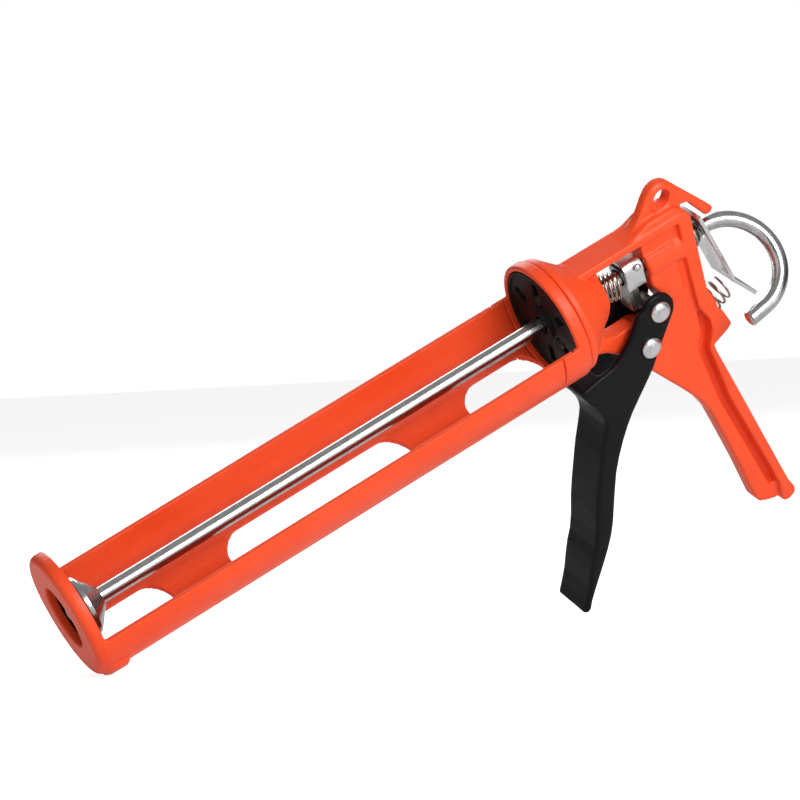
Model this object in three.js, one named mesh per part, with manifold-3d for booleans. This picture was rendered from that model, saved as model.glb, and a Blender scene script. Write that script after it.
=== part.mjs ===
// Caulking gun with a half-open cradle, a rotating collar, a hooked push rod and a trigger-driven grip.
// Millimetres. Gun frame: X runs back along the push rod from the collar joint (X = 0), Z is up, and
// Y = 0 is the plane of symmetry of the cast body. The last lines move everything into the row frame.
import * as THREE from "three";
import { mergeVertices } from "three/addons/utils/BufferGeometryUtils.js";
import Module from "manifold-3d";

const wasm = await Module();
wasm.setup();

// ---- driving sizes ----
const GAP = 0.3; // clearance between pieces that touch or nearly touch
const CRADLE_LENGTH = 225; // from the back rim of the nose cap to the collar joint
const CRADLE_R = 28; // outside of the trough and of the collar
const CRADLE_WALL = 2.5;
const LIP_HEIGHT = 1; // height of the trough's long edges above the rod axis
const PAD_RISE = 1.2; // thicker bands of the trough between its slots
const SLOT_ANGLE = 36; // half width of the trough's slots, degrees either side of the bottom
const CAP_WALL = 3.8; // front wall of the nose cap
const CAP_DEPTH = 5.8; // from the front face to the upper back rim
const CAP_SLEEVE = 13.4; // from the front face to the back edge of the lower sleeve
const NOZZLE_R = 13.4; // hole in the nose cap
const COLLAR_FRONT = 8.3; // X of the collar's upper front edge
const COLLAR_BACK = 13.9;
const ROD_R = 3.5;
const ROD_FIT = 0.3; // radial clearance of the rod in its guides
const HOOK_START = 95.6; // X where the rod starts to bend
const HOOK_R = 22; // radius of the hook's centre line
const HOOK_TURN = 172; // degrees of bend
const HOOK_TAIL = 9.6; // straight end after the bend
const HOOK_ROLL = 45; // roll of the hook towards -Y from straight down, degrees
const PISTON_R = 20; // pushes on the cartridge, hidden in the nose cap at rest
const BODY_HALF = 7.5; // half thickness of the body's flanges
const WEB_HALF = 4.4; // half thickness of its broad panel
const GROOVE_HALF = 1.5; // half thickness left under the handle's grooves
const GROOVE_WIDTH = 3.8;
const LUG_HALF = 2.6;
const SPINE_TOP = 18; // Z of the body's top edge
const LUG = [76.8, 27.4]; // hanging hole, X and Z
const SPUR_START = -25; // Z where the back face slopes out to the spur
const SPUR = [94.6, -50.2]; // tip of the spur, X and Z
const LUG_R = 7.6;
const GUIDE_WALL = 4.1; // tube around the rod at the back of the body
const REAR_FACE = 86.3; // X of the body's back face
const JAW_FRONT = 61; // X of the window's rear edge
const JAW_STEP = 1.1; // the jaw's faces are this far inside the flanges' faces
const CHEEK_FIT = 0.4; // clearance between the body and each cheek of the trigger
const CHEEK_WALL = 3.1;
const CHEEK_IN = BODY_HALF + CHEEK_FIT;
const TRIGGER_HALF = CHEEK_IN + CHEEK_WALL;
const PIVOT = [50.5, -33.9]; // trigger pivot, X and Z
const DRIVE = [58.8, -19.2]; // centre of the trigger's head and of the drive pin
const PIN_R = 2.6;
const RIVET_HEAD_R = 5;
const HEAD_RISE = 2.6;
const ROLLER_R = 3.4;
const HEAD_R = 8.3; // round top of the trigger
const SPRING_FRONT = 36; // front end of the drive spring, in a counterbore of the body
const SPRING_R = ROD_R + 2.5; // centre line of its wire
const SPRING_WIRE = 0.65; // half of the wire's thickness
const SPRING_TURNS = 5.5;
const STRAP_FRONT = 49.2; // folded strap that holds the grip plates
const STRAP_LENGTH = 9.2;
const STRAP_TOP = ROD_R + 4.5;
const STRAP_FOOT = 4.8; // how far the strap's sides hang below the rod axis
const STRAP_SHEET = 1.3;
const GRIP_FIT = 0.75; // radial clearance of the grip plates on the rod
const GRIP_EDGE = 0.55; // least width of a grip plate beside the rod
const GRIP_SIDE = 0.4; // clearance between the grip plates and the strap
const GRIP_THICK = 2.4;
const GRIP_TILT = 3.5; // the grip plates' feet lean back, degrees
const GRIP_BACK = 54.1; // X of the rear grip plate's back at the rod axis
const GRIP_FOOT = 17; // how far the grip plates hang below the rod axis
const RELEASE_TOP = [90, 11]; // upper end of the release plate, X and Z
const RELEASE_LEAN = 14; // lean of the release plate, degrees
const RELEASE_LENGTH = 41.4;
const RELEASE_TAB = 16;
const RELEASE_TAB_LEAN = 36;
const RELEASE_HALF = 8;
const RELEASE_SHEET = 1.8;

const GRIP_HALF = ROD_R + GRIP_FIT + GRIP_EDGE;
const GRIP_FRONT = GRIP_BACK - 2 * GRIP_THICK - GAP;
const STRAP_HALF = GRIP_HALF + GRIP_SIDE + STRAP_SHEET;
const GUIDE_R = ROD_R + GUIDE_WALL;
const COLLAR_IN = CRADLE_R - CRADLE_WALL;
const NOSE_BACK = -CRADLE_LENGTH;
const NOSE_FRONT = NOSE_BACK - CAP_DEPTH;
const rad = THREE.MathUtils.degToRad;

// ---- helpers ----

// Turns a three.js geometry into a solid, whichever way its profile was drawn.
function solid(geometry) {
  geometry.deleteAttribute("normal");
  geometry.deleteAttribute("uv");
  const merged = mergeVertices(geometry, 1e-4);
  const triVerts = new Uint32Array(merged.index.array);
  const vertProperties = new Float32Array(merged.attributes.position.array);
  const made = new wasm.Manifold(new wasm.Mesh({ numProp: 3, vertProperties, triVerts }));
  if (made.volume() >= 0) return made;
  for (let i = 0; i < triVerts.length; i += 3) {
    [triVerts[i + 1], triVerts[i + 2]] = [triVerts[i + 2], triVerts[i + 1]];
  }
  return new wasm.Manifold(new wasm.Mesh({ numProp: 3, vertProperties, triVerts }));
}

function geometryOf(made) {
  const m = made.getMesh();
  const positions = new Float32Array(m.numVert * 3);
  for (let i = 0; i < m.numVert; i++) {
    positions.set(m.vertProperties.subarray(i * m.numProp, i * m.numProp + 3), i * 3);
  }
  return new THREE.BufferGeometry()
    .setAttribute("position", new THREE.BufferAttribute(positions, 3))
    .setIndex(new THREE.BufferAttribute(m.triVerts, 1));
}

// A closed X-Z outline.
function outline(points) {
  return new THREE.Shape(points.map(([x, z]) => new THREE.Vector2(x, z)));
}

function curvePoints(points, count) {
  const curve = new THREE.SplineCurve(points.map(([x, z]) => new THREE.Vector2(x, z)));
  return curve.getPoints(count).map((p) => [p.x, p.y]);
}

function arcPoints(cx, cz, r, from, to, count) {
  return Array.from({ length: count + 1 }, (_, i) => {
    const a = rad(from + ((to - from) * i) / count);
    return [cx + r * Math.cos(a), cz + r * Math.sin(a)];
  });
}

// A plate with an X-Z outline, reaching from y0 to y1, with rounded edges if bevel is over 0.
function plate(points, y0, y1, bevel = 0) {
  const made = new THREE.ExtrudeGeometry(outline(points), {
    depth: y1 - y0 - 2 * bevel,
    curveSegments: 16,
    bevelEnabled: bevel > 0,
    bevelSize: bevel,
    bevelOffset: -bevel,
    bevelThickness: bevel,
    bevelSegments: 2,
  });
  made.rotateX(Math.PI / 2);
  made.translate(0, y1 - bevel, 0);
  return solid(made);
}

// A plate on both sides of the plane of symmetry.
function slab(points, half, bevel = 0) {
  return plate(points, -half, half, bevel);
}

// A body of revolution about the rod axis; the profile is a closed list of [x, r].
function turned(profile, segments = 48) {
  const points = profile.map(([x, r]) => new THREE.Vector2(r, x));
  points.push(points[0].clone());
  const made = new THREE.LatheGeometry(points, segments);
  made.rotateZ(-Math.PI / 2);
  return solid(made);
}

// A solid of revolution that reaches the axis; the profile starts and ends at r = 0.
function turnedFull(profile, segments = 40) {
  const points = profile.map(([x, r]) => new THREE.Vector2(r, x));
  const made = new THREE.LatheGeometry(points, segments);
  made.rotateZ(-Math.PI / 2);
  return solid(made);
}

function cylinderX(r, x0, x1, y = 0, z = 0, segments = 32) {
  return turnedFull([[x0, 0], [x0, r], [x1, r], [x1, 0]], segments).translate([0, y, z]);
}

function cylinderY(r, y0, y1, x, z, segments = 32) {
  const made = new THREE.CylinderGeometry(r, r, y1 - y0, segments);
  made.translate(x, (y0 + y1) / 2, z);
  return solid(made);
}

function box(x0, x1, y0, y1, z0, z1) {
  const made = new THREE.BoxGeometry(x1 - x0, y1 - y0, z1 - z0);
  made.translate((x0 + x1) / 2, (y0 + y1) / 2, (z0 + z1) / 2);
  return solid(made);
}

// The half space below a level, as a box big enough for the cradle.
function below(z) {
  return box(NOSE_FRONT - 20, 60, -80, 80, z - 160, z);
}

// A wedge about the rod axis around straight down, for cutting the trough's slots and pads.
function bottomWedge(x0, x1, halfAngle, corner) {
  const a = rad(halfAngle);
  const reach = CRADLE_R * 2;
  const made = new THREE.ExtrudeGeometry(
    new THREE.Shape([
      new THREE.Vector2(0, 0),
      new THREE.Vector2(-reach * Math.sin(a), -reach * Math.cos(a)),
      new THREE.Vector2(reach * Math.sin(a), -reach * Math.cos(a)),
    ]),
    { depth: x1 - x0, bevelEnabled: false },
  );
  made.rotateY(Math.PI / 2);
  made.rotateX(Math.PI / 2);
  made.translate(x0, 0, 0);
  const wedge = solid(made);
  if (!corner) return wedge;
  // Seen from below, the slot's corners are rounded.
  const half = CRADLE_R * Math.sin(a);
  const plan = new THREE.Shape();
  plan.moveTo(x0 + corner, -half);
  plan.lineTo(x1 - corner, -half);
  plan.absarc(x1 - corner, -half + corner, corner, -Math.PI / 2, 0, false);
  plan.lineTo(x1, half - corner);
  plan.absarc(x1 - corner, half - corner, corner, 0, Math.PI / 2, false);
  plan.lineTo(x0 + corner, half);
  plan.absarc(x0 + corner, half - corner, corner, Math.PI / 2, Math.PI, false);
  plan.lineTo(x0, -half + corner);
  plan.absarc(x0 + corner, -half + corner, corner, Math.PI, 1.5 * Math.PI, false);
  const drop = new THREE.ExtrudeGeometry(plan, { depth: 60, bevelEnabled: false, curveSegments: 8 });
  drop.translate(0, 0, -60);
  return wedge.intersect(solid(drop));
}

// ---- cradle group ----

const SLOTS = [
  [NOSE_BACK + 4, NOSE_BACK + 41],
  [NOSE_BACK + 70, -64],
  [-33, COLLAR_FRONT - 1.8],
];
const SLOT_CORNER = 11;
const LAP = 6; // the trough's thinned end reaches this far into the collar
const LAP_R = CRADLE_R - 1.4;

function makeTrough() {
  const front = NOSE_FRONT + CAP_WALL + GAP;
  let made = turned([
    [front, COLLAR_IN],
    [LAP, COLLAR_IN],
    [LAP, LAP_R],
    [0, LAP_R],
    [0, CRADLE_R],
    [front, CRADLE_R],
  ]);
  const bands = [
    [NOSE_BACK + 35, NOSE_BACK + 74],
    [-68, -29],
  ];
  for (const [x0, x1] of bands) {
    const band = turned([
      [x0, CRADLE_R - 2.2],
      [x0, CRADLE_R - 1.2],
      [x0 + 1.6, CRADLE_R],
      [x1 - 1.6, CRADLE_R],
      [x1, CRADLE_R - 1.2],
      [x1, CRADLE_R - 2.2],
    ]).translate([0, 0, -PAD_RISE]);
    made = made.add(band.intersect(bottomWedge(x0, x1, 84)));
  }
  made = made.intersect(below(LIP_HEIGHT));
  for (const [x0, x1] of SLOTS) made = made.subtract(bottomWedge(x0, x1, SLOT_ANGLE, SLOT_CORNER));
  return made;
}

function makeCollarRing() {
  const inner = COLLAR_IN;
  const ring = turned([
    [COLLAR_FRONT, inner],
    [COLLAR_FRONT, CRADLE_R - 0.8],
    [COLLAR_FRONT + 0.8, CRADLE_R],
    [COLLAR_BACK, CRADLE_R],
    [COLLAR_BACK, SPIGOT_R + GAP],
    [DISC_BACK + GAP, SPIGOT_R + GAP],
    [DISC_BACK + GAP, inner],
  ]);
  const skirt = turned([
    [GAP, LAP_R + GAP],
    [LAP + GAP, LAP_R + GAP],
    [LAP + GAP, inner],
    [COLLAR_FRONT + 1, inner],
    [COLLAR_FRONT + 1, CRADLE_R],
    [GAP, CRADLE_R],
  ]).intersect(below(LIP_HEIGHT));
  const slot = bottomWedge(...SLOTS[2], SLOT_ANGLE, SLOT_CORNER);
  return ring.add(skirt.subtract(slot));
}

const SLEEVE_DROP = 2.4; // the sleeve's outside is this far below the rod axis

function makeNoseCap() {
  const r = CRADLE_R - 0.4;
  const back = NOSE_FRONT + CAP_SLEEVE;
  const edge = 3.2;
  const round = arcPoints(NOSE_FRONT + edge, r - edge, edge, 180, 90, 5);
  const rim = turned([
    [NOSE_BACK, COLLAR_IN - 0.4],
    [NOSE_FRONT + CAP_WALL, COLLAR_IN - 0.4],
    [NOSE_FRONT + CAP_WALL, NOZZLE_R],
    [NOSE_FRONT + 0.6, NOZZLE_R],
    [NOSE_FRONT, NOZZLE_R + 0.6],
    ...round,
    [NOSE_BACK, r],
  ]);
  const seat = turned([
    [NOSE_FRONT + CAP_WALL, COLLAR_IN - GAP],
    [NOSE_FRONT + CAP_WALL, CRADLE_R + GAP],
    [NOSE_BACK + 1, CRADLE_R + GAP],
    [NOSE_BACK + 1, COLLAR_IN - GAP],
  ]).intersect(below(LIP_HEIGHT + GAP));
  // The sleeve under the trough's front end, thickest at the bottom.
  const sleeve = turnedFull([
    [NOSE_FRONT + edge, 0],
    [NOSE_FRONT + edge, r - 0.8],
    [NOSE_FRONT + edge + 2, r],
    [back - 1, r + 0.2],
    [back, r - 0.4],
    [back, 0],
  ], 48).translate([0, 0, -SLEEVE_DROP]);
  const hollow = cylinderX(CRADLE_R + GAP, NOSE_FRONT + CAP_WALL, back + 1, 0, 0, 48);
  const nozzle = cylinderX(NOZZLE_R + 1, NOSE_FRONT, back + 1, 0, 0, 48);
  const lower = sleeve.subtract(hollow).subtract(nozzle).intersect(bottomWedge(NOSE_FRONT, back + 1, 58));
  return rim.subtract(seat).add(lower);
}

// ---- body group ----

const SPIGOT_R = 18;
const DISC_FRONT = 9.5;
const DISC_BACK = 12;
const COLLAR_SEAT = COLLAR_BACK + 0.4;

// Back of the cast body: spine, back face, spur, and the handle down to its foot.
const BACK_EDGE = [
  [16, SPINE_TOP],
  [80, SPINE_TOP],
  [REAR_FACE - 1, SPINE_TOP - 1],
  [REAR_FACE, SPINE_TOP - 2.5],
  [REAR_FACE, SPUR_START],
  SPUR,
  [91.4, -52.4],
  [83.6, -55.6],
  [84.2, -59.6],
  [90.6, -86.6],
  [98.1, -118.6],
  [105.8, -151],
  [108.2, -157],
  [107.6, -160.4],
  [103.6, -162],
  [100.6, -161],
];

// Front of the cast body: foot, front of the handle, guard and jaw.
const FRONT_EDGE = [
  [94.4, -158.4],
  [90.2, -156.4],
  [88.2, -152.6],
  [84, -129.6],
  [79.8, -109.8],
  [75.6, -91],
  [71.7, -82],
  [65.5, -72.1],
  [59.7, -63.6],
  [53.9, -55],
  [47.6, -46],
  [41, -37],
  [33, -30],
  [22, -25],
  [16, -22],
];

// Inner edge of the spine and of the back flange, from the window down to the handle's foot.
const FLANGE_EDGE = [
  [16, 14],
  [79.6, 14],
  [79.6, -14],
  [80.2, -33],
  [84.2, -42],
  [84.2, -47.5],
  [80.8, -56],
  [85.4, -88.5],
  [91.4, -112.2],
  [97.4, -136.4],
  [100.6, -149.6],
];

const WINDOW = [
  [37.4, 12.6],
  [38.4, 13.8],
  [60, 13.8],
  [JAW_FRONT - 0.2, 12.6],
  [JAW_FRONT, -9],
  [63.4, -13.5],
  [66, -22],
  [62, -26],
  [54, -26],
  [50.4, -25.4],
  [48.4, -23.4],
  [39.6, -24],
  [34.4, -22.4],
  [33, -19.4],
  [34.2, -16.6],
  [36.8, -13.8],
  [39.2, -10.2],
  [39.6, -6],
  [38.4, 0],
];

// The thick jaw behind the window, below the rod's guide.
const JAW = [
  [56, 6],
  [75.6, 6],
  [75.6, -9],
  [76.2, -12],
  [76.4, -19],
  [74.4, -21.4],
  [68, -21.8],
  [56, -21.8],
];

// The groove between the handle's panel and the back flange; it closes above the foot.
function groove() {
  const along = FLANGE_EDGE.slice(4);
  return [
    [80.6, -34],
    ...along.map(([x, z]) => [x + 0.5, z]),
    ...along.reverse().map(([x, z]) => [x - GROOVE_WIDTH, z]),
  ];
}

function makeBodyCasting() {
  const cut = plate(groove(), GROOVE_HALF, BODY_HALF * 2);
  const inFlange = FLANGE_EDGE.map(([x, z]) => [x + 2, z + 2]);
  let made = slab([...inFlange, [102, -157], [99.4, -160], ...FRONT_EDGE], WEB_HALF, 1.2);
  made = made.subtract(cut).subtract(cut.mirror([0, 1, 0]));
  made = made.add(slab([...BACK_EDGE, ...[...FLANGE_EDGE].reverse()], BODY_HALF, 0.6));
  made = made.add(slab(JAW, BODY_HALF - JAW_STEP, 1));
  made = made.subtract(slab(WINDOW, BODY_HALF * 2));
  // Collar seat and the cone that blends it into the body.
  const neck = turnedFull([
    [DISC_BACK + GAP, 0],
    [DISC_BACK + GAP, SPIGOT_R],
    [COLLAR_SEAT, SPIGOT_R],
    [COLLAR_SEAT, CRADLE_R - 1],
    [17.4, CRADLE_R - 1],
    [18.2, CRADLE_R - 1.8],
    [21, 23.6],
    [26, 19.2],
    [31, 14.8],
    [34.6, 11.6],
    [37.4, 10],
    [37.4, 0],
  ]);
  const guide = turnedFull([
    [JAW_FRONT, 0],
    [JAW_FRONT, GUIDE_R - 1],
    [JAW_FRONT + 1, GUIDE_R],
    [80.5, GUIDE_R],
    [80.5, 0],
  ], 40);
  made = made.add(neck).add(guide);
  made = made.add(cylinderY(8, -BODY_HALF, BODY_HALF, PIVOT[0], PIVOT[1], 40));
  // Hanging lug with its wider root and its boss.
  made = made.add(slab(lugOutline(), LUG_HALF, 0.6));
  made = made.add(slab(lugRoot(), BODY_HALF - 1, 1.3));
  made = made.add(cylinderY(LUG_R - 1.4, -LUG_HALF - 0.9, LUG_HALF + 0.9, LUG[0], LUG[1], 32));
  made = made.subtract(cylinderY(LUG_HOLE_R, -20, 20, LUG[0], LUG[1], 32));
  // Seat of the release spring, the pivot bore, the rod bore and the drive spring's counterbore.
  made = made.subtract(onSpur(cylinderX(RELEASE_COIL_R + 1.6, -SEAT_DEPTH, 30)));
  made = made.subtract(cylinderY(PIN_R + 0.1, -30, 30, PIVOT[0], PIVOT[1], 32));
  made = made.subtract(cylinderX(ROD_R + ROD_FIT, 0, 120));
  made = made.subtract(cylinderX(SPRING_R + SPRING_WIRE + 0.6, SPRING_FRONT - GAP, 42));
  for (const [y, z] of discScrewPlaces()) {
    made = made.subtract(cylinderX(SCREW_R + 0.1, 5, SCREW_END + 0.5, y, z, 16));
  }
  return made.simplify(0.004);
}

// The lug, with the tail that covers the release plate.
function lugOutline() {
  return [
    [52, SPINE_TOP - 2],
    ...curvePoints([[52, SPINE_TOP - 0.4], [57.6, 19], [62.4, 22], [66.4, 26.6], [70, 31.4]], 10),
    ...arcPoints(LUG[0], LUG[1], LUG_R, 148, 34, 10),
    [100.6, 8.6],
    [100.4, 7.2],
    [99, 6.2],
    [96.4, 6.2],
    [91.4, 14],
    [89.6, SPINE_TOP - 0.6],
    [87, SPINE_TOP + 0.4],
    [84, SPINE_TOP + 0.6],
    [84, SPINE_TOP - 4],
  ];
}

function lugRoot() {
  return [
    [52, SPINE_TOP - 3],
    [52, SPINE_TOP - 0.2],
    [60, SPINE_TOP + 1.6],
    [66, SPINE_TOP + 3.9],
    [80, SPINE_TOP + 3.9],
    [84.6, SPINE_TOP],
    [84.6, SPINE_TOP - 3],
  ];
}

const LUG_HOLE_R = 4.1;
const SCREW_R = 1.4;
const SCREW_END = 17.5;
const SCREW_PCD = 24;

function discScrewPlaces() {
  return [90, 210, 330].map((deg) => [
    (SCREW_PCD / 2) * Math.cos(rad(deg)),
    (SCREW_PCD / 2) * Math.sin(rad(deg)),
  ]);
}

function makeEndDisc() {
  const r = COLLAR_IN - GAP;
  let made = turned([
    [DISC_BACK, ROD_R + 0.7],
    [DISC_FRONT - 1.6, ROD_R + 0.7],
    [DISC_FRONT - 1.6, 7.4],
    [DISC_FRONT, 8],
    [DISC_FRONT, r - 1.6],
    [DISC_FRONT - 0.8, r - 1.2],
    [DISC_FRONT - 0.8, r - 0.3],
    [DISC_FRONT - 0.4, r],
    [DISC_BACK, r],
  ]);
  for (let i = 0; i < 6; i++) {
    const slot = box(DISC_FRONT - 5, DISC_FRONT + 1.4, -2.1, 2.1, 12.6, 20.6);
    made = made.subtract(slot.rotate([60 * i, 0, 0]));
  }
  for (const [y, z] of discScrewPlaces()) {
    made = made.subtract(cylinderX(SCREW_R + 0.1, 0, 20, y, z, 16));
    made = made.subtract(cylinderX(3.1, 0, DISC_FRONT + 0.9, y, z, 24));
  }
  return made;
}

function makeDiscScrew([y, z]) {
  const head = turnedFull([
    [DISC_FRONT - 0.7, 0],
    [DISC_FRONT - 0.5, 1.6],
    [DISC_FRONT - 0.1, 2.4],
    [DISC_FRONT + 0.8, 2.7],
    [DISC_FRONT + 0.8, SCREW_R],
    [SCREW_END, SCREW_R],
    [SCREW_END, 0],
  ], 15);
  const cross = box(DISC_FRONT - 2, DISC_FRONT, -0.35, 0.35, -1.5, 1.5);
  const cut = cross.add(cross.rotate([90, 0, 0]));
  return head.subtract(cut).translate([0, y, z]);
}

// ---- push rod group ----

function makePushRod() {
  const front = PISTON_BACK + GAP;
  const roll = rad(HOOK_ROLL);
  const down = new THREE.Vector3(0, -Math.sin(roll), -Math.cos(roll));
  const along = new THREE.Vector3(1, 0, 0);
  const start = new THREE.Vector3(HOOK_START, 0, 0);
  const at = (deg, r) => {
    const a = rad(deg);
    const p = start.clone().addScaledVector(along, r * Math.sin(a));
    return p.addScaledVector(down, HOOK_R - r * Math.cos(a));
  };
  const points = [];
  const steps = 22;
  for (let i = 0; i <= steps; i++) points.push(at((HOOK_TURN * i) / steps, HOOK_R));
  const turn = rad(HOOK_TURN);
  const heading = along.clone().multiplyScalar(Math.cos(turn)).addScaledVector(down, Math.sin(turn));
  points.push(points[points.length - 1].clone().addScaledVector(heading, HOOK_TAIL));
  points.unshift(new THREE.Vector3(front, 0, 0));
  const neck = cylinderX(ROD_NECK, PISTON_BACK - 5.2, PISTON_BACK + 5, 0, 0, 24);
  return sweep(points, ROD_R, 24).add(neck);
}

// A round bar along straight pieces: rings square to the path, mitred at each corner.
function sweep(points, r, segments) {
  const count = points.length;
  const positions = [];
  const index = [];
  let side = null;
  for (let i = 0; i < count; i++) {
    const before = points[Math.max(i - 1, 0)];
    const after = points[Math.min(i + 1, count - 1)];
    const heading = after.clone().sub(before).normalize();
    if (!side) {
      const up = Math.abs(heading.z) < 0.9 ? new THREE.Vector3(0, 0, 1) : new THREE.Vector3(0, 1, 0);
      side = up.clone().cross(heading).normalize();
    }
    side.addScaledVector(heading, -side.dot(heading)).normalize();
    const other = heading.clone().cross(side);
    for (let k = 0; k < segments; k++) {
      const a = (2 * Math.PI * k) / segments;
      const p = points[i].clone().addScaledVector(side, r * Math.cos(a)).addScaledVector(other, r * Math.sin(a));
      positions.push(p.x, p.y, p.z);
    }
  }
  for (let i = 0; i + 1 < count; i++) {
    for (let k = 0; k < segments; k++) {
      const a = i * segments + k;
      const b = i * segments + ((k + 1) % segments);
      index.push(a, b, a + segments, b, b + segments, a + segments);
    }
  }
  const first = positions.length / 3;
  positions.push(points[0].x, points[0].y, points[0].z);
  positions.push(points[count - 1].x, points[count - 1].y, points[count - 1].z);
  for (let k = 0; k < segments; k++) {
    const next = (k + 1) % segments;
    index.push(first, next, k);
    index.push(first + 1, (count - 1) * segments + k, (count - 1) * segments + next);
  }
  const made = new THREE.BufferGeometry();
  made.setAttribute("position", new THREE.BufferAttribute(new Float32Array(positions), 3));
  made.setIndex(index);
  return solid(made);
}

const PISTON_BACK = NOSE_BACK + 1.8; // back of the piston plate
const PISTON_SHEET = 1.6;
const NUT_THICK = 2.6;
const ROD_NECK = 2.6; // threaded front end of the rod

function makePistonPlate() {
  const t = PISTON_SHEET;
  return turned([
    [PISTON_BACK, ROD_NECK + GAP],
    [PISTON_BACK, PISTON_R - 1],
    [PISTON_BACK - 1, PISTON_R],
    [PISTON_BACK - 3, PISTON_R],
    [PISTON_BACK - 3, PISTON_R - t],
    [PISTON_BACK - t, PISTON_R - t - 0.6],
    [PISTON_BACK - t, ROD_NECK + GAP],
  ]);
}

function makePistonHub() {
  const x = PISTON_BACK + GAP;
  return turned([
    [x, ROD_R + 0.2],
    [x, 12.4],
    [x + 0.4, 12.8],
    [x + 2.6, 12.8],
    [x + 3.2, 12.2],
    [x + 8.4, 5.8],
    [x + 9.2, 5],
    [x + 9.2, ROD_R + 0.2],
  ], 48);
}

function makePistonNut() {
  const x1 = PISTON_BACK - PISTON_SHEET - GAP;
  const x0 = x1 - NUT_THICK;
  const hex = new THREE.CylinderGeometry(6.4, 6.4, NUT_THICK, 6);
  hex.rotateZ(-Math.PI / 2);
  hex.translate((x0 + x1) / 2, 0, 0);
  const chamfer = turnedFull([
    [x0, 0],
    [x0, 5.4],
    [x0 + 0.8, 6.5],
    [x1, 6.5],
    [x1, 0],
  ]);
  return solid(hex).intersect(chamfer).subtract(cylinderX(ROD_NECK + 0.2, x0 - 5, x0 + 10));
}

// ---- drive group ----

function helix(x0, x1, r0, r1, wire, turns, z, flip = 0) {
  const points = [];
  const per = 14;
  const total = Math.round(turns * per);
  for (let i = 0; i <= total; i++) {
    const t = i / total;
    const a = flip + 2 * Math.PI * turns * t;
    const r = r0 + (r1 - r0) * t;
    points.push(new THREE.Vector3(x0 + (x1 - x0) * t, r * Math.cos(a), z + r * Math.sin(a)));
  }
  return sweep(points, wire, 6);
}

function makeDriveSpring() {
  const x0 = SPRING_FRONT + SPRING_WIRE;
  const x1 = GRIP_FRONT - 0.9 - GAP - SPRING_WIRE;
  return helix(x0, x1, SPRING_R, SPRING_R, SPRING_WIRE, SPRING_TURNS, 0, 0.4);
}

// The inverted-U strap, its rounded top above the rod and its sides down both faces.
function makeDriveStrap() {
  const profile = (half, top, round, foot) => {
    const shape = new THREE.Shape();
    shape.moveTo(-half, foot);
    shape.lineTo(-half, top - round);
    shape.absarc(-half + round, top - round, round, Math.PI, Math.PI / 2, true);
    shape.lineTo(half - round, top);
    shape.absarc(half - round, top - round, round, Math.PI / 2, 0, true);
    shape.lineTo(half, foot);
    shape.closePath();
    return shape;
  };
  const run = (shape, x0, x1) => {
    const made = new THREE.ExtrudeGeometry(shape, { depth: x1 - x0, bevelEnabled: false, curveSegments: 6 });
    made.rotateY(Math.PI / 2);
    made.rotateX(Math.PI / 2);
    made.translate(x0, 0, 0);
    return solid(made);
  };
  const back = STRAP_FRONT + STRAP_LENGTH;
  const outer = run(profile(STRAP_HALF, STRAP_TOP, 4, -STRAP_FOOT), STRAP_FRONT, back);
  const inner = run(profile(STRAP_HALF - STRAP_SHEET, STRAP_TOP - STRAP_SHEET, 2.8, -30), STRAP_FRONT - 1, back - STRAP_SHEET);
  let made = outer.subtract(inner);
  made = made.subtract(cylinderX(ROD_R + 0.8, back - 5, back + 5));
  made = made.subtract(box(back - 5, back + 5, -ROD_R - 0.8, ROD_R + 0.8, -20, 0));
  return made.subtract(cylinderY(STRAP_PIN_R + 0.1, -20, 20, strapPin()[0], strapPin()[1], 20));
}

const STRAP_PIN_R = 1.2;

function strapPin() {
  return [STRAP_FRONT + STRAP_LENGTH - 2.8, ROD_R + STRAP_PIN_R + GAP];
}

function makeStrapPin() {
  const half = STRAP_HALF + 0.3;
  const [x, z] = strapPin();
  const profile = [
    [-half - 1.2, 0],
    [-half - 1, 0.9],
    [-half - 0.4, 1.6],
    [-half, 1.7],
    [-half, STRAP_PIN_R],
    [half, STRAP_PIN_R],
    [half, 1.7],
    [half + 0.4, 1.6],
    [half + 1, 0.9],
    [half + 1.2, 0],
  ];
  return turnedY(profile, x, z, 20);
}

// A solid of revolution about a line along Y; the profile is a list of [y, r] from the axis to the axis.
function turnedY(profile, x, z, segments) {
  const points = profile.map(([y, r]) => new THREE.Vector2(r, y));
  const made = new THREE.LatheGeometry(points, segments);
  made.translate(x, 0, z);
  return solid(made);
}

// Grip plates bite on the rod; number 0 is the front one.
function makeGripPlate(number) {
  const x0 = GRIP_FRONT + number * (GRIP_THICK + GAP);
  const made = box(x0, x0 + GRIP_THICK, -GRIP_HALF, GRIP_HALF, -GRIP_FOOT, ROD_R + 1.7);
  const hole = cylinderX(ROD_R + GRIP_FIT, x0 - 5, x0 + 10);
  const tilted = made.translate([-x0, 0, 0]).rotate([0, -GRIP_TILT, 0]).translate([x0, 0, 0]);
  return tilted.subtract(hole);
}

// ---- trigger group ----

function triggerOutline() {
  const rear = curvePoints([
    [65.6, -24], [60.3, -31], [54.4, -38.8], [49.2, -46], [42.3, -53.2], [33.9, -62],
    [27, -71.8], [20.2, -84.6], [15.2, -99.2], [10.4, -113.8], [4.3, -125],
    [-2.8, -135.6], [-8.6, -144.6],
  ], 22);
  const front = curvePoints([
    [-14.4, -148.4], [-9, -138], [-4.4, -125.6], [0.7, -115], [4.8, -99.6],
    [9.9, -85], [14, -74], [18.4, -64], [20.2, -57.6], [18.8, -51], [15, -43.6], [12.8, -39],
  ], 20);
  return [
    ...arcPoints(DRIVE[0], DRIVE[1], HEAD_R, 150, -30, 10),
    ...rear,
    [-10.4, -148.6],
    [-12.4, -149.6],
    ...front,
    [13, -37],
    [14.4, -36],
    ...curvePoints([[22.5, -34.3], [31.4, -32.9], [38.6, -28], [43.6, -23], [48.2, -16.4]], 10),
  ];
}

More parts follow.
